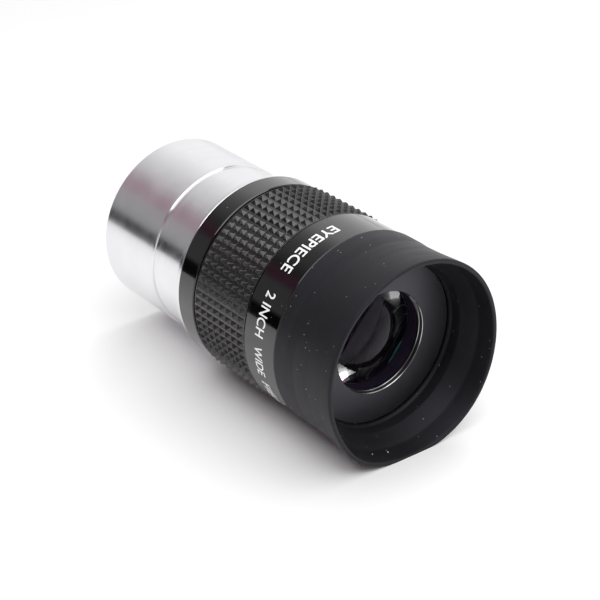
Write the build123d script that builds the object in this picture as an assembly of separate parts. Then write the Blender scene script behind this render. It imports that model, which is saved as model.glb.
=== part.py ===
"""Two-inch wide-field telescope eyepiece, lying on its side.

The optical axis is X. The open end of the nosepiece is at x = 0 and the eye side is +X. +Z is up.
Millimetres. Round pieces are turned about the X axis from half profiles of (x, radius) corners.
Screw threads are stood in for by plain cylinders at the thread's working radius.
"""

from math import copysign, sqrt
import os

from build123d import *

# ---- driving dimensions ----------------------------------------------------------------------
BARREL_R = 25.4            # two-inch nosepiece
UNDERCUT_R = 24.95         # slightly smaller stretch behind the nosepiece's leading band
BAND_END = 23.7            # where the full-size band ends
BEVEL = 0.9                # length of the bevel down to the undercut
FLANGE_START = 38.75       # front face of the stop flange
FLANGE_R = 27.25
FLANGE_EDGE = 0.2          # chamfer on the flange's two rims
FLANGE_END = 40.3
FILTER_THREAD_R = 23.6     # M48 x 0.75 filter thread, minor radius
FILTER_THREAD_END = 6.1
MOUTH_CHAMFER = 0.6
BARREL_BORE_R = 23.2
BAFFLE_SEAT = 36.0         # shoulder in the bore that the baffle ring rests on
SPIGOT_R = 24.0            # male thread that screws into the lower housing
SPIGOT_BORE_R = 21.5
SPIGOT_END = 46.9

HOUSING_R = 27.75
HOUSING_START = 40.65
HOUSING_EDGE = 0.25        # chamfer on the housing's outer rims
RUNNING_GAP = 0.05         # radial clearance of the barrel's thread in the housing
GRIP_START = 48.0
GRIP_END = 70.6
GRIP_SEAT_R = 26.0
GRIP_R = 28.3              # tips of the grip's pyramids
GASKET_END = 71.15
GASKET_R = 27.1
JOINT_THREAD_R = 25.0      # thread that joins the two housings
JOINT_THREAD_END = 77.0
UPPER_START = 71.2
UPPER_END = 84.3           # end of the printed band, where the eyecup starts
CUP_SPIGOT_R = 26.4
CUP_SPIGOT_END = 93.9

CELL_R = 23.6
CELL_GAP = 0.15            # radial room around the lens cell
CELL_START = 48.25
CELL_SHOULDER = 86.4
CELL_NECK_R = 21.8
CELL_END = 92.1
LENS_GAP = 0.1             # radial room around each lens
CEMENT = 0.03              # thickness of the cement in a doublet
FIELD_LENS_R = 20.5
EYE_LENS_R = 14.8

PLATE_FACE = 94.2
PLATE_THICKNESS = 2.0
PLATE_R = 23.3
EYE_OPENING_R = 14.4

CUP_START = 84.4
SLEEVE_END = 95.4
SKIRT_END = 105.5
CUP_END = 108.0
SLEEVE_R = 28.15
CUP_MOUTH_R = 23.75        # inside radius of the rubber beside the plate
SKIRT_INNER_R = 26.8
SKIRT_OUTER_R = 28.7
RIM_INNER_R = 27.35
RIM_R = 29.0
REST_LEVEL = -GRIP_R       # the surface the eyepiece lies on: the soft rim is flattened against it

SPANNER_SLOT_WIDTH = 2.0
SPANNER_SLOT_DEPTH = 0.8
FACE_GAP = 0.05            # axial room between pieces that only touch


# ---- shared shapes ---------------------------------------------------------------------------
def turned(*corners):
    """Solid of revolution about the optical axis from its half profile."""
    outline = Polyline(*corners, close=True)
    return revolve(make_face(outline), axis=Axis.X)


def ring(start, end, inner_r, outer_r):
    """Plain ring between two stations on the axis."""
    return turned((start, inner_r), (end, inner_r), (end, outer_r), (start, outer_r))


def sag(curvature_r, radius):
    """How far a spherical surface has moved along the axis at a given radius."""
    return curvature_r - copysign(sqrt(curvature_r**2 - radius**2), curvature_r)


def surface(vertex, curvature_r, radius):
    """Station of a lens surface at a given radius; a positive curvature has its centre toward +X."""
    return vertex + sag(curvature_r, radius)


def lens(left, left_curvature, right, right_curvature, radius):
    """Glass between two spherical surfaces, with a ground cylindrical edge."""
    half = radius / 2
    left_edge = (surface(left, left_curvature, radius), radius)
    right_edge = (surface(right, right_curvature, radius), radius)
    left_face = ThreePointArc((left, 0), (surface(left, left_curvature, half), half), left_edge)
    right_face = ThreePointArc(right_edge, (surface(right, right_curvature, half), half), (right, 0))
    outline = [left_face, Line(left_edge, right_edge), right_face, Line((right, 0), (left, 0))]
    return revolve(make_face(outline), axis=Axis.X)


def with_spanner_slots(piece, face, side, radius):
    """The ring with two opposite spanner slots; side is +1 for a face toward +X, -1 toward -X."""
    centre = face - side * SPANNER_SLOT_DEPTH / 2
    across = Box(SPANNER_SLOT_DEPTH, SPANNER_SLOT_WIDTH, 2.5 * radius)
    return piece - Pos(centre, 0, 0) * across


def flattened(piece):
    """Soft rubber where it rests: nothing reaches below the surface that the eyepiece lies on."""
    room = Box(4 * CUP_END, 4 * RIM_R, 4 * RIM_R)
    return piece & Pos(0, 0, REST_LEVEL + 2 * RIM_R) * room


# ---- nosepiece -------------------------------------------------------------------------------
def nosepiece_barrel():
    return turned(
        (0, FILTER_THREAD_R + MOUTH_CHAMFER),
        (0, BARREL_R),
        (BAND_END, BARREL_R),
        (BAND_END + BEVEL, UNDERCUT_R),
        (FLANGE_START, UNDERCUT_R),
        (FLANGE_START, FLANGE_R - FLANGE_EDGE),
        (FLANGE_START + FLANGE_EDGE, FLANGE_R),
        (FLANGE_END - FLANGE_EDGE, FLANGE_R),
        (FLANGE_END, FLANGE_R - FLANGE_EDGE),
        (FLANGE_END, SPIGOT_R),
        (SPIGOT_END, SPIGOT_R),
        (SPIGOT_END, SPIGOT_BORE_R),
        (BAFFLE_SEAT, SPIGOT_BORE_R),
        (BAFFLE_SEAT, BARREL_BORE_R),
        (FILTER_THREAD_END, BARREL_BORE_R),
        (FILTER_THREAD_END, FILTER_THREAD_R),
        (MOUTH_CHAMFER, FILTER_THREAD_R),
    )


def barrel_baffle_ring():
    edge_r = 19.5
    thickness = 1.4
    start = BAFFLE_SEAT - thickness
    return turned(
        (start, BARREL_BORE_R),
        (BAFFLE_SEAT, BARREL_BORE_R),
        (BAFFLE_SEAT, edge_r + thickness),
        (start + 0.2, edge_r),
        (start, edge_r),
    )


def seat_washer():
    return ring(FLANGE_END + 0.02, HOUSING_START - 0.03, SPIGOT_R + 0.1, FLANGE_R - 0.35)


# ---- housings --------------------------------------------------------------------------------
def lower_housing():
    lip_start = SPIGOT_END + 0.1
    lip_r = 22.2
    return turned(
        (HOUSING_START, SPIGOT_R + RUNNING_GAP),
        (HOUSING_START, HOUSING_R - HOUSING_EDGE),
        (HOUSING_START + HOUSING_EDGE, HOUSING_R),
        (GRIP_START - 2 * HOUSING_EDGE, HOUSING_R),
        (GRIP_START - HOUSING_EDGE, HOUSING_R - HOUSING_EDGE),
        (GRIP_START - HOUSING_EDGE, GRIP_SEAT_R),
        (GRIP_END + FACE_GAP, GRIP_SEAT_R),
        (GRIP_END + FACE_GAP, JOINT_THREAD_R),
        (JOINT_THREAD_END, JOINT_THREAD_R),
        (JOINT_THREAD_END, CELL_R + CELL_GAP),
        (CELL_START, CELL_R + CELL_GAP),
        (CELL_START, lip_r),
        (lip_start, lip_r),
        (lip_start, SPIGOT_R + RUNNING_GAP),
    )


def grip_sleeve():
    return ring(GRIP_START, GRIP_END, GRIP_SEAT_R, GRIP_R)


def housing_gasket():
    return ring(GRIP_END + 2 * FACE_GAP, GASKET_END, JOINT_THREAD_R, GASKET_R)


def upper_housing():
    plate_seat = PLATE_FACE - PLATE_THICKNESS - FACE_GAP
    shoulder_start = CELL_SHOULDER + FACE_GAP
    return turned(
        (UPPER_START, JOINT_THREAD_R + RUNNING_GAP),
        (UPPER_START, HOUSING_R - HOUSING_EDGE),
        (UPPER_START + HOUSING_EDGE, HOUSING_R),
        (UPPER_END - HOUSING_EDGE, HOUSING_R),
        (UPPER_END, HOUSING_R - HOUSING_EDGE),
        (UPPER_END, CUP_SPIGOT_R),
        (CUP_SPIGOT_END, CUP_SPIGOT_R),
        (CUP_SPIGOT_END, PLATE_R + RUNNING_GAP),
        (plate_seat, PLATE_R + RUNNING_GAP),
        (plate_seat, CELL_NECK_R + CELL_GAP),
        (shoulder_start, CELL_NECK_R + CELL_GAP),
        (shoulder_start, CELL_R + CELL_GAP),
        (JOINT_THREAD_END + FACE_GAP, CELL_R + CELL_GAP),
        (JOINT_THREAD_END + FACE_GAP, JOINT_THREAD_R + RUNNING_GAP),
    )


# ---- optics ----------------------------------------------------------------------------------
RING_THREAD_R = 21.6       # thread in the cell's mouth for the field stop and its retaining ring
FIELD_SEAT = 55.3          # where that thread ends and the field lens bore starts
MIDDLE_SEAT_R = 18.2
EYE_SEAT_R = 13.9
EYE_RING_R = 16.0

FIELD_FRONT = (57.5, -90)  # vertex station and curvature of each surface, field side first
FIELD_CEMENTED = (60.0, 40)
FIELD_BACK = (71.0, -55)
MIDDLE_FRONT = (72.0, 60)
MIDDLE_BACK = (81.0, -60)
EYE_FRONT = (82.5, 38)
EYE_CEMENTED = (91.2, -30)
EYE_BACK = (93.9, -21)

MIDDLE_SEAT = surface(*MIDDLE_BACK, MIDDLE_SEAT_R) + FACE_GAP
EYE_SEAT = surface(*EYE_FRONT, EYE_SEAT_R) - FACE_GAP
EYE_RING_SEAT = surface(*EYE_BACK, EYE_LENS_R) - 0.3


def lens_cell():
    seat_lip = 0.8
    bore_r = FIELD_LENS_R + LENS_GAP
    eye_bore_r = EYE_LENS_R + LENS_GAP
    return turned(
        (CELL_START, RING_THREAD_R),
        (CELL_START, CELL_R),
        (CELL_SHOULDER, CELL_R),
        (CELL_SHOULDER, CELL_NECK_R),
        (CELL_END, CELL_NECK_R),
        (CELL_END, EYE_RING_R),
        (EYE_RING_SEAT, EYE_RING_R),
        (EYE_RING_SEAT, eye_bore_r),
        (EYE_SEAT, eye_bore_r),
        (EYE_SEAT, EYE_SEAT_R),
        (EYE_SEAT - seat_lip, EYE_SEAT_R),
        (EYE_SEAT - seat_lip, MIDDLE_SEAT_R),
        (MIDDLE_SEAT, MIDDLE_SEAT_R),
        (MIDDLE_SEAT, bore_r),
        (FIELD_SEAT, bore_r),
        (FIELD_SEAT, RING_THREAD_R),
    )


def field_stop_ring():
    aperture_r = 16.0
    start = CELL_START + 0.35
    end = start + 1.4
    piece = turned(
        (start, aperture_r),
        (start + 0.15, aperture_r),
        (end, aperture_r + 1.2),
        (end, RING_THREAD_R),
        (start, RING_THREAD_R),
    )
    return with_spanner_slots(piece, start, -1, RING_THREAD_R)


def field_retaining_ring():
    inner_r = 19.3
    end = surface(*FIELD_FRONT, FIELD_LENS_R) - FACE_GAP
    start = end - 2.5
    piece = ring(start, end, inner_r, RING_THREAD_R)
    return with_spanner_slots(piece, start, -1, RING_THREAD_R)


def field_spacer_ring():
    inner_r = 19.3
    start = surface(*FIELD_BACK, inner_r) + FACE_GAP
    end = surface(*MIDDLE_FRONT, inner_r) - FACE_GAP
    return ring(start, end, inner_r, FIELD_LENS_R)


def field_lens_flint():
    vertex, curvature = FIELD_CEMENTED
    return lens(*FIELD_FRONT, vertex - CEMENT, curvature, FIELD_LENS_R)


def field_lens_crown():
    return lens(*FIELD_CEMENTED, *FIELD_BACK, FIELD_LENS_R)


def middle_lens():
    return lens(*MIDDLE_FRONT, *MIDDLE_BACK, FIELD_LENS_R)


def eye_lens_crown():
    vertex, curvature = EYE_CEMENTED
    return lens(*EYE_FRONT, vertex - CEMENT, curvature, EYE_LENS_R)


def eye_lens_flint():
    return lens(*EYE_CEMENTED, *EYE_BACK, EYE_LENS_R)


def eye_retaining_ring():
    inner_r = 14.3
    start = surface(*EYE_BACK, inner_r) + FACE_GAP
    end = CELL_END + 0.05
    piece = ring(start, end, inner_r, EYE_RING_R)
    return piece - Pos(end, 0, 0) * Box(SPANNER_SLOT_DEPTH, SPANNER_SLOT_WIDTH, 2.5 * EYE_RING_R)


# ---- eye side --------------------------------------------------------------------------------
def eye_plate():
    back = PLATE_FACE - PLATE_THICKNESS
    lead_in = 0.35
    rim_edge = 0.2
    return turned(
        (back, EYE_OPENING_R),
        (PLATE_FACE - lead_in, EYE_OPENING_R),
        (PLATE_FACE, EYE_OPENING_R + lead_in),
        (PLATE_FACE, PLATE_R - rim_edge),
        (PLATE_FACE - rim_edge, PLATE_R),
        (back, PLATE_R),
    )


def eyecup_sleeve():
    edge = 0.5
    lap_start = CUP_SPIGOT_END + FACE_GAP
    piece = turned(
        (CUP_START, CUP_SPIGOT_R),
        (CUP_START, SLEEVE_R - edge),
        (CUP_START + edge, SLEEVE_R),
        (SLEEVE_END, SLEEVE_R),
        (SLEEVE_END, CUP_MOUTH_R + 0.4),
        (lap_start, CUP_MOUTH_R),
        (lap_start, CUP_SPIGOT_R),
    )
    return flattened(piece)


def eyecup_skirt():
    piece = turned(
        (SLEEVE_END, CUP_MOUTH_R + 0.4),
        (SLEEVE_END, SLEEVE_R),
        (SKIRT_END, SKIRT_OUTER_R),
        (SKIRT_END, SKIRT_INNER_R),
    )
    return flattened(piece)


def eyecup_rim():
    edge = 0.3
    piece = turned(
        (SKIRT_END, SKIRT_INNER_R),
        (SKIRT_END, SKIRT_OUTER_R),
        (CUP_END - edge, RIM_R),
        (CUP_END, RIM_R - edge),
        (CUP_END, RIM_INNER_R + edge),
        (CUP_END - edge, RIM_INNER_R),
    )
    return flattened(piece)


NODES = (
    nosepiece_barrel,
    barrel_baffle_ring,
    seat_washer,
    lower_housing,
    grip_sleeve,
    housing_gasket,
    upper_housing,
    lens_cell,
    field_stop_ring,
    field_retaining_ring,
    field_lens_flint,
    field_lens_crown,
    field_spacer_ring,
    middle_lens,
    eye_lens_crown,
    eye_lens_flint,
    eye_retaining_ring,
    eye_plate,
    eyecup_sleeve,
    eyecup_skirt,
    eyecup_rim,
)

os.makedirs("parts", exist_ok=True)
for make_node in NODES:
    export_step(make_node(), f"parts/{make_node.__name__}.step")
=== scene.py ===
"""The looks of a two-inch telescope eyepiece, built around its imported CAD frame.

Profiles are in millimetres: x runs along the optical axis from the nosepiece's open end to the eye,
and r is the distance from that axis. Meshes are in metres, in the CAD frame.
"""

from math import copysign, cos, exp, floor, hypot, log, pi, radians, sin, sqrt, tan

import bmesh
import bpy
from mathutils import Matrix, Vector


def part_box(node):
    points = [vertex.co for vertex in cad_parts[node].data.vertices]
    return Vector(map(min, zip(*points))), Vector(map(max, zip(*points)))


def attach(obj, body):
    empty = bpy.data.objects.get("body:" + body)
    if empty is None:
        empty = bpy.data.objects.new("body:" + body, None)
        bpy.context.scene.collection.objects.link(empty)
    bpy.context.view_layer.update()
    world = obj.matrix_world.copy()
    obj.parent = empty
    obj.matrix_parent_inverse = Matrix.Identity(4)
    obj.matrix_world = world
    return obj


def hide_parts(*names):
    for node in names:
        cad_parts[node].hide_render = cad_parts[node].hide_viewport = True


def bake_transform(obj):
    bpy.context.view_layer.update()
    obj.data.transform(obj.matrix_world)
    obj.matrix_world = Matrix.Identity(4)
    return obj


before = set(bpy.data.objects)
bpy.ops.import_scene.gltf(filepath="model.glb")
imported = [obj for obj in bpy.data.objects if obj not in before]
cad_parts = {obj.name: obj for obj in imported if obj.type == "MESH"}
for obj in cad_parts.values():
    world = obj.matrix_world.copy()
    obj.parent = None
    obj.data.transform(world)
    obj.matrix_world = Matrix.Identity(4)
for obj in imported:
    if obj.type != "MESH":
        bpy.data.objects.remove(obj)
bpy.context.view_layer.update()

MM = 0.001
SEGMENTS = 288             # round pieces are turned in this many steps


# ---- sizes read from the frame, in millimetres -------------------------------------------------
def start_of(node):
    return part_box(node)[0].x / MM


def end_of(node):
    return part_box(node)[1].x / MM


def radius_of(node):
    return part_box(node)[1].y / MM


BARREL_R = 25.4            # half of the two inches that every focuser takes
UNDERCUT_R = 24.95         # the shallow recess that a clamping screw bears on
FLANGE_R = radius_of("nosepiece_barrel")
BARREL_END = end_of("nosepiece_barrel")
HOUSING_R = radius_of("lower_housing")
HOUSING_START = start_of("lower_housing")
GRIP_START = start_of("grip_sleeve")
GRIP_END = end_of("grip_sleeve")
GRIP_R = radius_of("grip_sleeve")
UPPER_START = start_of("upper_housing")
CUP_START = start_of("eyecup_sleeve")
CUP_R = radius_of("eyecup_sleeve")
CUP_END = end_of("eyecup_rim")
PLATE_FACE = end_of("eye_plate")
PLATE_R = radius_of("eye_plate")
REST_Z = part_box("grip_sleeve")[0].z


# ---- mesh tools --------------------------------------------------------------------------------
def rounded(corners, steps=4):
    """Closed profile in which a corner (x, r, fillet) becomes an arc; (x, r) stays sharp."""
    points = []
    for index, corner in enumerate(corners):
        here = Vector(corner[:2])
        if len(corner) < 3:
            points.append(tuple(here))
            continue
        before = (Vector(corners[index - 1][:2]) - here).normalized()
        after = (Vector(corners[(index + 1) % len(corners)][:2]) - here).normalized()
        half = before.angle(after) / 2
        reach = corner[2] / tan(half)
        centre = here + (before + after).normalized() * corner[2] / sin(half)
        from_centre = here + before * reach - centre
        turn = (here + after * reach - centre).angle_signed(from_centre)
        for step in range(steps + 1):
            swing = Matrix.Rotation(turn * step / steps, 2)
            points.append(tuple(centre + swing @ from_centre))
    return points


def object_from(name, vertices, faces, sharp=35):
    mesh = bpy.data.meshes.new(name)
    mesh.from_pydata(vertices, [], faces)
    tidy = bmesh.new()
    tidy.from_mesh(mesh)
    bmesh.ops.recalc_face_normals(tidy, faces=tidy.faces)
    tidy.to_mesh(mesh)
    tidy.free()
    mesh.shade_smooth()
    mesh.set_sharp_from_angle(angle=radians(sharp))
    piece = bpy.data.objects.new(name, mesh)
    bpy.context.scene.collection.objects.link(piece)
    return piece


def lathe(name, profile, shape=None, segments=SEGMENTS, sharp=35):
    """Turns a closed profile about the axis. Where it touches the axis, it closes in a pole.
    shape(x, r, angle) may bend a point's radius."""
    vertices, rings = [], []
    for x, r in profile:
        if r < 1e-6:
            vertices.append((x * MM, 0, 0))
            rings.append([len(vertices) - 1] * segments)
            continue
        rings.append(range(len(vertices), len(vertices) + segments))
        for step in range(segments):
            angle = 2 * pi * step / segments
            bent = shape(x, r, angle) if shape else r
            vertices.append((x * MM, bent * cos(angle) * MM, bent * sin(angle) * MM))
    faces = []
    for index, ring in enumerate(rings):
        following = rings[(index + 1) % len(rings)]
        for step in range(segments):
            ahead = (step + 1) % segments
            corners = (ring[step], ring[ahead], following[ahead], following[step])
            distinct = tuple(dict.fromkeys(corners))
            if len(distinct) > 2:
                faces.append(distinct)
    piece = object_from(name, vertices, faces, sharp)
    if shape is None:
        piece.modifiers.new("even shading", "WEIGHTED_NORMAL").keep_sharp = True
    return piece


def finish_where(piece, material, chosen):
    """Gives another material to the faces whose (x, r) in millimetres is chosen."""
    piece.data.materials.append(material)
    index = len(piece.data.materials) - 1
    for face in piece.data.polygons:
        x, y, z = face.center / MM
        if chosen(x, hypot(y, z)):
            face.material_index = index


def keep(piece, body, slot, material, *replaced):
    """Dresses a finished piece, ties it to its CAD body and hides the CAD nodes that it replaces; the
    slot is not used.
    """
    if material is not None:
        if piece.data.materials:
            piece.data.materials[0] = material
        else:
            piece.data.materials.append(material)
    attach(piece, body)
    if replaced:
        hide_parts(*replaced)
    return piece


# ---- material tools ----------------------------------------------------------------------------
class Finish:
    """A Principled material, with the recipes that the finishes share."""

    def __init__(self, name, **sockets):
        self.material = bpy.data.materials.new(name)
        self.material.use_nodes = True
        self.tree = self.material.node_tree
        self.shader = self.tree.nodes["Principled BSDF"]
        for socket, value in sockets.items():
            self.shader.inputs[socket.replace("_", " ")].default_value = value
        self.place = self.node("ShaderNodeTexCoord").outputs["Object"]
        self.split = self.node("ShaderNodeSeparateXYZ", self.place)

    def node(self, kind, *linked, **settings):
        made = self.tree.nodes.new(kind)
        for name, value in settings.items():
            setattr(made, name, value)
        for index, source in enumerate(linked):
            self.feed(made.inputs[index], source)
        return made

    def feed(self, socket, source):
        if isinstance(source, bpy.types.Node):
            source = source.outputs[0]
        if isinstance(source, bpy.types.NodeSocket):
            self.tree.links.new(source, socket)
        else:
            socket.default_value = source

    def set(self, socket, source):
        self.feed(self.shader.inputs[socket], source)

    def math(self, operation, *values):
        return self.node("ShaderNodeMath", *values, operation=operation)

    def across(self):
        """Distance from the optical axis."""
        squares = [self.math("MULTIPLY", self.split.outputs[k], self.split.outputs[k]) for k in (1, 2)]
        return self.math("SQRT", self.math("ADD", *squares))

    def along(self):
        return self.split.outputs[0]

    def cloud(self, size, detail=4, roughness=0.55, stretch=(1, 1, 1)):
        """Soft 3-D noise from 0 to 1 with features of about this size in millimetres."""
        mapped = self.node("ShaderNodeMapping", self.place)
        mapped.inputs["Scale"].default_value = [1 / (size * MM) / s for s in stretch]
        noise = self.node("ShaderNodeTexNoise", mapped)
        noise.inputs["Scale"].default_value = 1
        noise.inputs["Detail"].default_value = detail
        noise.inputs["Roughness"].default_value = roughness
        return noise.outputs["Fac"]

    def rings(self, distance, pitch, detail=3):
        """Noise that depends only on one distance, as a lathe tool leaves it."""
        noise = self.node("ShaderNodeTexNoise", noise_dimensions="1D")
        self.feed(noise.inputs["W"], self.math("MULTIPLY", distance, 1 / (pitch * MM)))
        noise.inputs["Scale"].default_value = 1
        noise.inputs["Detail"].default_value = detail
        noise.inputs["Roughness"].default_value = 0.7
        return noise.outputs["Fac"]

    def span(self, factor, low, high, start=0.3, end=0.7):
        """Maps a factor between start and end to the range low to high."""
        mapped = self.node("ShaderNodeMapRange", factor)
        for socket, value in zip(("From Min", "From Max", "To Min", "To Max"), (start, end, low, high)):
            mapped.inputs[socket].default_value = value
        return mapped.outputs["Result"]

    def blend(self, factor, first, second):
        mix = self.node("ShaderNodeMix", data_type="RGBA")
        self.feed(mix.inputs[0], factor)
        self.feed(mix.inputs[6], first)
        self.feed(mix.inputs[7], second)
        return mix.outputs[2]

    def specks(self, cell, size, share):
        """Mask of small scattered specks: one cell in every 1 / share holds a speck."""
        mapped = self.node("ShaderNodeMapping", self.place)
        mapped.inputs["Scale"].default_value = [1 / (cell * MM)] * 3
        wobble = self.node("ShaderNodeTexNoise", mapped)
        wobble.inputs["Scale"].default_value = 3 * cell / size / 10
        shifted = self.node("ShaderNodeMix", data_type="VECTOR")
        shifted.inputs[0].default_value = 0.06
        self.feed(shifted.inputs[4], mapped)
        self.feed(shifted.inputs[5], wobble.outputs["Color"])
        cells = self.node("ShaderNodeTexVoronoi", shifted.outputs[1])
        cells.inputs["Scale"].default_value = 1
        near = self.span(cells.outputs["Distance"], 1, 0, 0.5 * size / cell, 0.75 * size / cell)
        picked = self.node("ShaderNodeSeparateColor", cells.outputs["Color"])
        chosen = self.math("LESS_THAN", picked.outputs[0], share)
        return self.math("MULTIPLY", near, chosen)

    def bump(self, height, depth, under=None):
        """Bump of this depth in millimetres, over another bump if one is given."""
        made = self.node("ShaderNodeBump")
        made.inputs["Strength"].default_value = 1
        made.inputs["Distance"].default_value = depth * MM
        self.feed(made.inputs["Height"], height)
        if under is not None:
            self.feed(made.inputs["Normal"], under)
        self.set("Normal", made)
        return made


def grey(value, blue=0.0):
    return (value, value, value * (1 + blue), 1)


COOL = (0.85, 0.83, 1.0, 1)    # the tint of what the eye plate and the eyecup mirror


def satin_chrome():
    f = Finish("satin_chrome", Metallic=1.0, Anisotropic=0.75, Anisotropic_Rotation=0.25)
    f.set("Tangent", f.node("ShaderNodeTangent", direction_type="RADIAL", axis="X"))
    marks = f.rings(f.along(), 0.11)
    bands = f.rings(f.along(), 1.7, detail=2)
    smudge = f.cloud(9, detail=5)
    f.set("Base Color", f.blend(f.span(smudge, 0, 1), grey(0.7, 0.03), grey(0.76, 0.03)))
    rough = f.math("ADD", f.span(bands, 0.2, 0.24), f.span(smudge, 0, 0.03))
    f.set("Roughness", rough)
    f.bump(marks, 0.0006)
    return f.material


def gloss_black():
    f = Finish("gloss_black_anodised", IOR=1.56)
    haze = f.cloud(7, detail=5)
    dust = f.specks(1.8, 0.15, 0.3)
    base = f.blend(f.span(haze, 0, 1), grey(0.0006), grey(0.0016, 0.1))
    f.set("Base Color", f.blend(dust, base, grey(0.3)))
    f.set("Roughness", f.math("ADD", f.span(haze, 0.07, 0.11), f.math("MULTIPLY", dust, 0.4)))
    f.bump(f.rings(f.along(), 0.2), 0.0004)
    return f.material


def black_metal():
    f = Finish("matte_black_anodised", IOR=1.45)
    grain = f.cloud(0.12, detail=3)
    shade = f.cloud(5)
    f.set("Base Color", f.blend(shade, grey(0.006), grey(0.013)))
    f.set("Roughness", f.span(shade, 0.42, 0.6))
    f.bump(grain, 0.004)
    return f.material


def satin_plate():
    f = Finish("turned_black_plate", IOR=1.5, Anisotropic=0.4, Anisotropic_Rotation=0.25)
    f.set("Specular Tint", COOL)
    f.set("Tangent", f.node("ShaderNodeTangent", direction_type="RADIAL", axis="X"))
    marks = f.rings(f.across(), 0.16)
    shade = f.cloud(6)
    dust = f.specks(1.9, 0.2, 0.3)
    base = f.blend(shade, grey(0.0012), grey(0.004, 0.05))
    f.set("Base Color", f.blend(dust, base, grey(0.25)))
    f.set("Roughness", f.math("ADD", f.span(marks, 0.3, 0.38), f.span(shade, 0, 0.05)))
    f.bump(marks, 0.0012)
    return f.material


def grip_rubber():
    f = Finish("grip_rubber", IOR=1.55)
    shade = f.cloud(2.2, detail=5)
    grain = f.cloud(0.3, detail=4)
    dust = f.specks(1.1, 0.15, 0.35)
    base = f.blend(f.span(shade, 0, 1), grey(0.0015), grey(0.005, 0.05))
    f.set("Base Color", f.blend(dust, base, grey(0.3)))
    f.set("Roughness", f.span(shade, 0.2, 0.3))
    f.bump(grain, 0.05)
    return f.material


def cup_rubber():
    f = Finish("eyecup_rubber", IOR=1.32)
    f.set("Specular Tint", COOL)
    bands = f.rings(f.along(), 2.3, detail=2)
    shade = f.cloud(11, detail=5, stretch=(0.5, 1, 1))
    grain = f.cloud(0.1, detail=3)
    fine = f.specks(1.5, 0.16, 0.35)
    large = f.specks(2.8, 0.3, 0.14)
    dust = f.math("MAXIMUM", f.math("MULTIPLY", fine, 0.5), large)
    tone = f.math("MULTIPLY_ADD", bands, 0.4, f.math("MULTIPLY", shade, 0.6))
    base = f.blend(f.span(tone, 0, 1), grey(0.0035, 0.15), grey(0.007, 0.15))
    f.set("Base Color", f.blend(dust, base, grey(0.7)))
    f.set("Roughness", f.span(tone, 0.47, 0.58))
    under = f.bump(grain, 0.01)
    f.bump(f.math("ADD", bands, f.math("MULTIPLY", dust, 2)), 0.02, under)
    return f.material


def floor_paper():
    f = Finish("white_table", Roughness=0.9)
    f.set("Base Color", f.blend(f.cloud(60), grey(0.86), grey(0.88)))
    return f.material


def lettering_paint():
    f = Finish("white_print", IOR=1.5)
    f.set("Base Color", f.blend(f.cloud(0.8), grey(0.82), grey(0.93)))
    f.set("Roughness", f.span(f.cloud(0.5), 0.3, 0.45))
    return f.material


def glass(name, tint, through=(0.97, 0.99, 0.99), index=1.6):
    """Polished lens glass; the tint is the colour of its coating's reflection."""
    f = Finish(name, IOR=index, Roughness=0.0)
    f.set("Transmission Weight", 1.0)
    f.set("Specular Tint", (*tint, 1))
    lighter = [min(1, 1.02 * part) for part in through]
    f.set("Base Color", f.blend(f.cloud(20), (*through, 1), (*lighter, 1)))
    return f.material


def polished_edge():
    """Bare metal that shows where the black finish is cut away at a sharp corner."""
    f = Finish("bare_edge", Metallic=1.0)
    f.set("Base Color", f.blend(f.cloud(1.5), grey(0.25), grey(0.5)))
    f.set("Roughness", f.span(f.cloud(0.8), 0.12, 0.25))
    return f.material


def flocked_black():
    """Soft dark lining. Its darkness is its own; its violet tint is a painted reflection, standing in
    for the lavender light that the lens coatings send back.
    """
    f = Finish("flocked_black", IOR=1.1, Roughness=0.9, Specular_IOR_Level=0.1)
    f.set("Base Color", f.blend(f.cloud(4), (0.012, 0.009, 0.018, 1), (0.024, 0.018, 0.034, 1)))
    return f.material


def ground_glass():
    """The fine chamfer round a lens, left matt by grinding."""
    f = Finish("ground_glass_edge", IOR=1.5)
    f.set("Base Color", f.blend(f.cloud(1), grey(0.35), grey(0.6)))
    f.set("Roughness", f.span(f.cloud(0.5), 0.4, 0.6))
    return f.material


def cement():
    """The joint inside a doublet, which light crosses with nothing to see."""
    f = Finish("doublet_cement", IOR=1.0, Roughness=0.0, Alpha=0.0)
    f.set("Base Color", f.blend(f.cloud(20), grey(0.99), grey(1)))
    return f.material


CHROME = satin_chrome()
GLOSS = gloss_black()
BLACK = black_metal()
PLATE = satin_plate()
GRIP_RUBBER = grip_rubber()
CUP_RUBBER = cup_rubber()
PRINT = lettering_paint()
PURPLE_COAT = glass("purple_coated_glass", (0.05, 0.03, 0.07))
FAINT_COAT = glass("faint_coated_glass", (0.3, 0.22, 0.5), index=1.1)
STRONG_COAT = glass("strongly_curved_glass", (0.02, 0.014, 0.03))
# Painted shade: this field glass lets through almost no light, only a dim teal, standing in for the
# dark inside of the eyepiece seen through the lenses.
TEAL_PAINTED_SHADE = glass("field_glass_painted_shade", (0.05, 0.3, 0.25), through=(0.00005, 0.003, 0.0022))
EDGE = polished_edge()
FLOCK = flocked_black()
GROUND = ground_glass()
CEMENT = cement()


# ---- nosepiece ---------------------------------------------------------------------------------
THREAD_PITCH = 0.75        # shared by the filter thread, the glare ridges and the spigot's grooves
THREAD_CREST = 23.6
THREAD_ROOT = 24.05
RIDGE_CREST = 23.2
RIDGE_ROOT = 23.45
SPIGOT_R = 24.0
SPIGOT_ROOT = 23.62
SPIGOT_BORE = 21.5


def filter_thread():
    """Profile of the thread in the barrel's mouth, from its inner end outward."""
    first, turns = 0.75, 7
    points = []
    for turn in reversed(range(turns)):
        x = first + turn * THREAD_PITCH
        points += [(x + 0.48, THREAD_ROOT), (x + 0.4, THREAD_ROOT)]
        points += [(x + 0.07, THREAD_CREST), (x, THREAD_CREST)]
    return points


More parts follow.
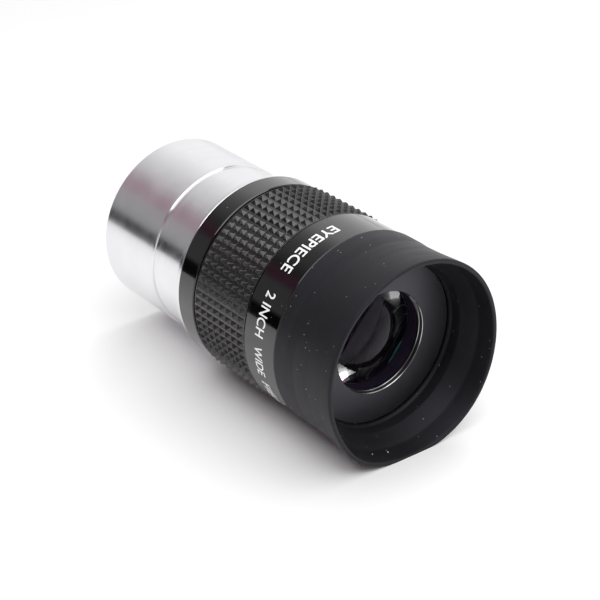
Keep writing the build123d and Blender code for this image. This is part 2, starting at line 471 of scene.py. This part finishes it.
def glare_ridges():
    """Profile of the sawtooth ridges in the bore, from their inner end outward."""
    first, ridges = 7.0, 38
    points = []
    for ridge in reversed(range(ridges)):
        x = first + ridge * THREAD_PITCH
        points += [(x + 0.45, RIDGE_CREST), (x, RIDGE_ROOT)]
    return points


def spigot_grooves():
    """Profile of the grooves round the spigot that screws into the housing."""
    first, turns = 41.2, 7
    points = []
    for turn in range(turns):
        x = first + turn * THREAD_PITCH
        points += [(x, SPIGOT_R), (x + 0.3, SPIGOT_ROOT)]
        points += [(x + 0.38, SPIGOT_ROOT), (x + 0.68, SPIGOT_R)]
    return points


def make_barrel():
    mouth_r = 24.2
    flange_start = 38.75
    flange_end = 40.3
    edge = 0.2
    thread_end = 6.4
    ridged_end = 36.0
    blackened_r = 23.5
    bevel = [(23.95, BARREL_R, 0.04), (24.3, BARREL_R - 0.25, 0.03), (24.38, UNDERCUT_R, 0.03)]
    profile = rounded([
        (0, mouth_r, 0.06), (0, BARREL_R, 0.14), *bevel,
        (flange_start, UNDERCUT_R, 0.1), (flange_start, FLANGE_R - edge, 0.04),
        (flange_start + edge, FLANGE_R, 0.06), (flange_end - edge, FLANGE_R, 0.06),
        (flange_end, FLANGE_R - edge, 0.04), (flange_end, SPIGOT_R), *spigot_grooves(),
        (BARREL_END, SPIGOT_R, 0.2), (BARREL_END, SPIGOT_BORE, 0.1),
        (ridged_end, SPIGOT_BORE), (ridged_end, RIDGE_CREST), *glare_ridges(),
        (thread_end, RIDGE_CREST), (thread_end - 0.2, THREAD_ROOT), *filter_thread(),
    ])
    barrel = lathe("barrel", profile, sharp=30)
    barrel.data.materials.append(CHROME)
    finish_where(barrel, BLACK, lambda x, r: r < blackened_r and x > thread_end)
    keep(barrel, "nosepiece", "bright_metal", CHROME, "nosepiece_barrel")


# ---- housings ----------------------------------------------------------------------------------
CHAMFER = 0.25
SHELL_BORE = 23.75         # where the lens cell goes
GRIP_SEAT_R = 26.0
COLLAR_R = 25.0            # the lower shell's collar, which reaches into the upper shell
COLLAR_END = 77.0
PLAY = 0.05                # between the collar and the upper shell


def make_lower_housing():
    thread_r = 24.05
    thread_end = 47.0
    cell_seat = 48.25
    throat_r = 22.2
    profile = rounded([
        (HOUSING_START, thread_r), (HOUSING_START, HOUSING_R - CHAMFER, 0.08),
        (HOUSING_START + CHAMFER, HOUSING_R, 0.12), (GRIP_START - 2 * CHAMFER, HOUSING_R, 0.1),
        (GRIP_START - CHAMFER, HOUSING_R - CHAMFER, 0.08), (GRIP_START - CHAMFER, GRIP_SEAT_R),
        (GRIP_END, GRIP_SEAT_R), (GRIP_END, COLLAR_R), (COLLAR_END, COLLAR_R),
        (COLLAR_END, SHELL_BORE), (cell_seat, SHELL_BORE), (cell_seat, throat_r),
        (thread_end, throat_r), (thread_end, thread_r),
    ])
    keep(lathe("lower_shell", profile), "housing", "gloss_black", GLOSS, "lower_housing")


def make_upper_housing():
    band_end = CUP_START - 0.1
    spigot_r = 26.4
    spigot_end = 93.9
    plate_seat = 92.15
    plate_bore = 23.35
    eye_bore_start = 86.45
    eye_bore = 21.95
    profile = rounded([
        (UPPER_START, COLLAR_R + PLAY), (UPPER_START, HOUSING_R - CHAMFER, 0.08),
        (UPPER_START + CHAMFER, HOUSING_R, 0.12), (band_end - CHAMFER, HOUSING_R, 0.12),
        (band_end, HOUSING_R - CHAMFER, 0.08), (band_end, spigot_r),
        (spigot_end, spigot_r, 0.2), (spigot_end, plate_bore), (plate_seat, plate_bore),
        (plate_seat, eye_bore), (eye_bore_start, eye_bore), (eye_bore_start, SHELL_BORE),
        (COLLAR_END + PLAY, SHELL_BORE), (COLLAR_END + PLAY, COLLAR_R + PLAY),
    ])
    keep(lathe("upper_shell", profile), "housing", "gloss_black", GLOSS, "upper_housing")


# ---- grip --------------------------------------------------------------------------------------
def make_grip():
    """Rubber band with rows of small square pyramids, their tips slightly blunt."""
    columns = 8
    rows = 73
    end_margin = 0.35
    floor_r = GRIP_R - 0.95
    tip_r = GRIP_R - 0.02
    row_groove = 0.27
    column_groove = 0.06
    blunt = 0.1
    sunk = 0.1              # how far a pyramid's foot lies inside the band
    foot = 1.08             # its width there, against its width where it leaves the band
    pitch = (GRIP_END - GRIP_START - 2 * end_margin) / columns
    band = rounded([
        (GRIP_START, GRIP_SEAT_R), (GRIP_START, floor_r, 0.1),
        (GRIP_END, floor_r, 0.1), (GRIP_END, GRIP_SEAT_R),
    ])
    vertices, faces = [], []

    def place(x, r, angle):
        vertices.append((x * MM, r * cos(angle) * MM, r * sin(angle) * MM))
        return len(vertices) - 1

    for row in range(rows):
        centre_angle = 2 * pi * (row + 0.5) / rows
        half_angle = pi / rows - row_groove / floor_r
        for column in range(columns):
            x = GRIP_START + end_margin + (column + 0.5) * pitch
            half = pitch / 2 - column_groove
            corners = []
            for r, size in ((floor_r - sunk, foot), (tip_r, blunt)):
                for along, around in ((-1, -1), (1, -1), (1, 1), (-1, 1)):
                    angle = centre_angle + around * half_angle * size
                    corners.append(place(x + along * half * size, r, angle))
            base, top = corners[:4], corners[4:]
            faces.append(tuple(reversed(base)))
            faces.append(tuple(top))
            for k in range(4):
                ahead = (k + 1) % 4
                faces.append((base[k], base[ahead], top[ahead], top[k]))
    pyramids = object_from("grip_pyramids", vertices, faces, sharp=20)
    bevel = pyramids.modifiers.new("soft edges", "BEVEL")
    bevel.width = 0.09 * MM
    bevel.segments = 2
    bevel.limit_method = "ANGLE"
    keep(lathe("grip_band", band), "housing", "grip_rubber", GRIP_RUBBER, "grip_sleeve")
    keep(pyramids, "housing", "grip_rubber", GRIP_RUBBER)


# ---- eye plate and eyecup ----------------------------------------------------------------------
def make_eye_plate():
    opening = 14.4
    back = start_of("eye_plate")
    cut = 0.08
    first_step = back + 0.7
    second_step = back + 1.3
    mouth = PLATE_FACE - 1.5 * cut
    profile = rounded([
        (back, opening), (first_step, opening), (first_step + cut, opening + cut),
        (second_step, opening + cut), (second_step + cut, opening + 2 * cut),
        (mouth, opening + 2 * cut), (PLATE_FACE, opening + 3.5 * cut),
        (PLATE_FACE, PLATE_R, 0.22), (back, PLATE_R),
    ])
    plate = lathe("turned_plate", profile, sharp=30)
    plate.data.materials.append(PLATE)
    finish_where(plate, EDGE, lambda x, r: mouth < x < PLATE_FACE and r < opening + 4 * cut)
    finish_where(plate, EDGE, lambda x, r: opening + 0.1 * cut < r < opening + 0.9 * cut)
    keep(plate, "housing", "plate_black", PLATE, "eye_plate")


def bell(angle, centre, width):
    """Smooth hump of height 1 around a direction given in degrees."""
    away = (angle - radians(centre) + pi) % (2 * pi) - pi
    return exp(-(away / radians(width)) ** 2)


def lip_bulge(angle):
    """How far the soft lip stands out of round before the table presses it."""
    return (
        0.2 * bell(angle, 80, 42)
        - 0.3 * bell(angle, 175, 50)
        + 1.5 * bell(angle, -48, 38)
        + 1.2 * bell(angle, -124, 21)
    )


def pressed(r, angle):
    """The radius once the table has pressed the rubber flat at the height where it rests."""
    softness = 0.12
    rest = REST_Z / MM
    below = (rest - r * sin(angle)) / softness
    if below < -8:
        return r
    return (rest + softness * log(1 + exp(-below))) / sin(angle)


def make_eyecup():
    """One moulding: a sleeve over the spigot, a wall that flares, and a thick rounded lip."""
    lip_r = 28.7
    neck = 92.5
    wall = 1.3
    longest = 0.7           # no edge of the profile is longer, so that the wall can bend
    flare = 1.8             # how late the bulge sets in between the neck and the lip
    outside = [
        (CUP_START, 26.45), (CUP_START, CUP_R, 0.45), (89.5, CUP_R - 0.02, 3.0),
        (neck, CUP_R - 0.2, 3.0), (98.5, CUP_R, 4.0), (CUP_END, lip_r, 0.5),
    ]
    inside = [
        (CUP_END, lip_r - wall, 0.55), (103.0, 26.55, 0.9), (98.0, 24.45, 0.5), (95.3, 24.2, 0.35),
        (94.6, 23.75, 0.2), (93.95, 23.7, 0.15), (93.95, 26.45),
    ]
    profile = []
    loop = rounded(outside + inside, steps=6)
    for index, point in enumerate(loop):
        following = loop[(index + 1) % len(loop)]
        profile.append(point)
        length = hypot(following[0] - point[0], following[1] - point[1])
        cuts = floor(length / longest)
        for cut in range(1, cuts + 1):
            share = cut / (cuts + 1)
            profile.append(tuple(a + (b - a) * share for a, b in zip(point, following)))

    def shape(x, r, angle):
        reach = max(0.0, (x - neck) / (CUP_END - neck))
        return pressed(r + lip_bulge(angle) * reach ** flare, angle)

    cup = lathe("eyecup", profile, shape=shape, sharp=40)
    cup.data.materials.append(CUP_RUBBER)
    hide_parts("eyecup_sleeve", "eyecup_skirt", "eyecup_rim")
    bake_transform(cup)


# ---- glass -------------------------------------------------------------------------------------
def sag(curvature, radius):
    return curvature - copysign(sqrt(curvature ** 2 - radius ** 2), curvature)


def spherical(vertex, curvature, radius, steps=28):
    """Profile of a lens surface from the axis out to its edge."""
    return [(vertex + sag(curvature, radius * k / steps), radius * k / steps) for k in range(steps + 1)]


FIELD_R = radius_of("field_lens_crown")
EYE_R = radius_of("eye_lens_flint")
FIELD_FRONT = (57.5, -90)
FIELD_CEMENTED = (60.0, 40)
FIELD_BACK = (71.0, -55)
MIDDLE_FRONT = (72.0, 60)
MIDDLE_BACK = (81.0, -60)
EYE_FRONT = (82.5, 40)
EYE_CEMENTED = (91.2, -30)
EYE_BACK = (93.9, -21)
CEMENT_GAP = 0.03


def make_lens(name, left, left_finish, right, right_finish, radius, node):
    """A lens with two polished surfaces, a ground ring at the rim of each, and a blackened edge."""
    left_face = spherical(*left, radius)
    right_face = spherical(*right, radius)
    lens = lathe(name, left_face + right_face[::-1], segments=192, sharp=25)
    lens.data.materials.append(BLACK)
    polished_r = radius - 0.4
    ground_r = radius - 0.05
    closeness = 0.02
    for material, vertex, curvature in ((left_finish, *left), (right_finish, *right)):
        def on_surface(x, r, vertex=vertex, curvature=curvature):
            return r < ground_r and abs(vertex + sag(curvature, r) - x) < closeness
        finish_where(lens, material, on_surface)
    finish_where(lens, GROUND, lambda x, r: polished_r < r < ground_r)
    keep(lens, "housing", "lens_glass", None, node)
    return lens


def make_lenses():
    cemented = (FIELD_CEMENTED[0] - CEMENT_GAP, FIELD_CEMENTED[1])
    make_lens("field_flint", FIELD_FRONT, TEAL_PAINTED_SHADE, cemented, CEMENT, FIELD_R,
              "field_lens_flint")
    make_lens("field_crown", FIELD_CEMENTED, CEMENT, FIELD_BACK, FAINT_COAT, FIELD_R,
              "field_lens_crown")
    make_lens("middle_element", MIDDLE_FRONT, FAINT_COAT, MIDDLE_BACK, FAINT_COAT, FIELD_R,
              "middle_lens")
    cemented = (EYE_CEMENTED[0] - CEMENT_GAP, EYE_CEMENTED[1])
    crown = make_lens("eye_crown", EYE_FRONT, STRONG_COAT, cemented, CEMENT, EYE_R,
                      "eye_lens_crown")
    quiet_r = 8.5           # inside this the surface mirrors little; outside, pale crescents show
    finish_where(crown, FAINT_COAT, lambda x, r: r < quiet_r and x < EYE_FRONT[0] + 3)
    make_lens("eye_flint", EYE_CEMENTED, CEMENT, EYE_BACK, PURPLE_COAT, EYE_R, "eye_lens_flint")


# ---- printed lettering -------------------------------------------------------------------------
def make_print(name, words, first_angle, last_angle, height, foot):
    """Words printed round the upper shell between two angles in degrees, feet toward the nosepiece."""
    print_r = HOUSING_R + 0.004
    thickness = 0.02
    longest = 0.35          # no stretch round the shell is longer, so that the letters can bend
    curve = bpy.data.curves.new(name, "FONT")
    curve.body = words
    curve.extrude = thickness * MM
    curve.resolution_u = 6
    curve.offset = 0.006
    flat = bpy.data.objects.new(name, curve)
    bpy.context.scene.collection.objects.link(flat)
    bpy.context.view_layer.update()
    mesh = bpy.data.meshes.new_from_object(flat.evaluated_get(bpy.context.evaluated_depsgraph_get()))
    bpy.data.objects.remove(flat)
    left, right = (pick(v.co.x for v in mesh.vertices) for pick in (min, max))
    low, high = (pick(v.co.y for v in mesh.vertices) for pick in (min, max))
    length = radians(last_angle - first_angle) * print_r
    work = bmesh.new()
    work.from_mesh(mesh)
    cuts = floor(length / longest)
    for cut in range(1, cuts):
        at = left + (right - left) * cut / cuts
        everything = work.verts[:] + work.edges[:] + work.faces[:]
        bmesh.ops.bisect_plane(work, geom=everything, plane_co=(at, 0, 0), plane_no=(1, 0, 0))
    for vertex in work.verts:
        along = (vertex.co.x - left) / (right - left)
        up = (vertex.co.y - low) / (high - low)
        angle = radians(first_angle) + along * length / print_r
        r = print_r + copysign(thickness / 2, vertex.co.z)
        vertex.co = Vector(((foot + up * height), r * cos(angle), r * sin(angle))) * MM
    bmesh.ops.recalc_face_normals(work, faces=work.faces)
    work.to_mesh(mesh)
    work.free()
    mesh.name = name
    piece = bpy.data.objects.new(name, mesh)
    bpy.context.scene.collection.objects.link(piece)
    keep(piece, "housing", "gloss_black", PRINT)


# ---- hidden CAD pieces -------------------------------------------------------------------------
def dress(material, *nodes):
    for node in nodes:
        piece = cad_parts[node]
        piece.data.materials.clear()
        piece.data.materials.append(material)


# ---- studio ------------------------------------------------------------------------------------
def make_floor():
    """White table that ends a little way to the left of the eyepiece, as seen from the camera."""
    near, far = -0.32, 2.0
    reach = 2.2
    rows = [(-reach, near), (reach, near), (reach, far), (-reach, far)]
    turn = Matrix.Rotation(radians(-45), 2)
    corners = [turn @ Vector(p) for p in rows]
    table = object_from("table", [(c.x, c.y, REST_Z) for c in corners], [(0, 1, 2, 3)])
    table.data.materials.append(floor_paper())


def make_world():
    """White surroundings behind the eyepiece and below it.
    A dim room lies to its left, with a dark gap at table height."""
    world = bpy.data.worlds.new("studio")
    bpy.context.scene.world = world
    world.use_nodes = True
    tree = world.node_tree
    links = tree.links.new
    direction = tree.nodes.new("ShaderNodeTexCoord").outputs["Generated"]

    def toward(x, y, z, low, high):
        """1 where the direction has turned this way, 0 where it hasn't, soft between."""
        dot = tree.nodes.new("ShaderNodeVectorMath")
        dot.operation = "DOT_PRODUCT"
        links(direction, dot.inputs[0])
        dot.inputs[1].default_value = Vector((x, y, z)).normalized()
        step = tree.nodes.new("ShaderNodeMapRange")
        step.interpolation_type = "SMOOTHSTEP"
        links(dot.outputs["Value"], step.inputs["Value"])
        step.inputs["From Min"].default_value = low
        step.inputs["From Max"].default_value = high
        return step.outputs["Result"]

    def mixed(factor, first, second):
        mix = tree.nodes.new("ShaderNodeMix")
        mix.data_type = "RGBA"
        links(factor, mix.inputs[0])
        for socket, value in ((mix.inputs[6], first), (mix.inputs[7], second)):
            if isinstance(value, bpy.types.NodeSocket):
                links(value, socket)
            else:
                socket.default_value = value
        return mix.outputs[2]

    def both(first, second):
        product = tree.nodes.new("ShaderNodeMath")
        product.operation = "MULTIPLY"
        links(first, product.inputs[0])
        links(second, product.inputs[1])
        return product.outputs[0]

    rosy = (0.32, 0.13, 0.2, 1)
    room = mixed(toward(0, 0, 1, 0.4, 0.5), grey(0.38), rosy)
    room = mixed(toward(0, 0, 1, 0.54, 0.62), room, grey(0.08))
    around = mixed(toward(-0.2, 1, 0, -0.35, 0.58), room, grey(1.5))
    table_height = both(toward(0, 0, 1, -0.2, -0.1), toward(0, 0, -1, -0.14, -0.06))
    gapped = mixed(both(toward(-0.6, -0.8, 0, 0.1, 0.5), table_height), around, grey(0.01))
    above = mixed(toward(0, 0, 1, 0.6, 0.8), gapped, grey(0.3))
    all_round = mixed(toward(0, 0, -1, 0.12, 0.16), above, grey(1))
    background = tree.nodes["Background"]
    links(all_round, background.inputs["Color"])
    background.inputs["Strength"].default_value = 1


def add_softbox(name, place, target, size, power, mirrored=True):
    light = bpy.data.lights.new(name, "AREA")
    light.shape = "RECTANGLE"
    light.size, light.size_y = size
    light.energy = power
    box = bpy.data.objects.new(name, light)
    box.location = place
    box.rotation_euler = (Vector(target) - Vector(place)).to_track_quat("-Z", "Y").to_euler()
    box.visible_glossy = mirrored
    bpy.context.scene.collection.objects.link(box)


def soften_highlights():
    """Standard view with a soft shoulder, as a studio camera records bright metal on white."""
    settings = bpy.context.scene.view_settings
    settings.view_transform = "Standard"
    settings.use_curve_mapping = True
    white = 1.3
    settings.curve_mapping.white_level = (white, white, white)
    combined = settings.curve_mapping.curves[3]
    for scene_light, shown in ((0.25, 0.25), (0.55, 0.54), (1.1, 0.87)):
        combined.points.new(scene_light / white, shown)
    settings.curve_mapping.update()


def make_camera():
    """Views the eyepiece from its eye side, from the left of its axis and above."""
    azimuth, elevation = radians(52.196), radians(28.35)
    distance = 0.49936
    back = Vector((sin(azimuth) * cos(elevation), -cos(azimuth) * cos(elevation), sin(elevation)))
    right = Vector((cos(azimuth), sin(azimuth), 0))
    up = back.cross(right)
    aim = Vector((0.055, 0, 0)) + right * 0.00281 - up * 0.00348
    data = bpy.data.cameras.new("camera")
    data.lens = 107.85
    data.clip_start = 0.01
    camera = bpy.data.objects.new("camera", data)
    camera.location = aim + back * distance
    camera.rotation_euler = (-back).to_track_quat("-Z", "Y").to_euler()
    bpy.context.scene.collection.objects.link(camera)
    bpy.context.scene.camera = camera


make_camera()
make_world()
make_floor()
add_softbox("top_softbox", (0.3, -0.1, 0.6), (0.3, -0.1, 0), (0.9, 0.9), 8.5)
add_softbox("rear_softbox", (-0.6, 1.1, 0.9), (-0.3, 0.5, 0), (1.2, 1.0), 10, mirrored=False)
soften_highlights()

make_barrel()
make_lower_housing()
make_grip()
make_upper_housing()
make_eye_plate()
make_eyecup()
make_lenses()
make_print("print_name", "EYEPIECE", 94, 133, 3.7, 75.7)
make_print("print_size", "2 INCH", 146, 172, 3.5, 75.8)
make_print("print_field", "WIDE", 178, 197, 3.2, 75.9)
make_print("print_coating", "FIELD", 203, 226, 3.2, 75.9)
dress(CHROME, "nosepiece_barrel")
dress(BLACK, "seat_washer")
dress(FLOCK, "barrel_baffle_ring", "lens_cell", "field_stop_ring", "field_retaining_ring",
      "field_spacer_ring", "eye_retaining_ring")
dress(CUP_RUBBER, "housing_gasket")
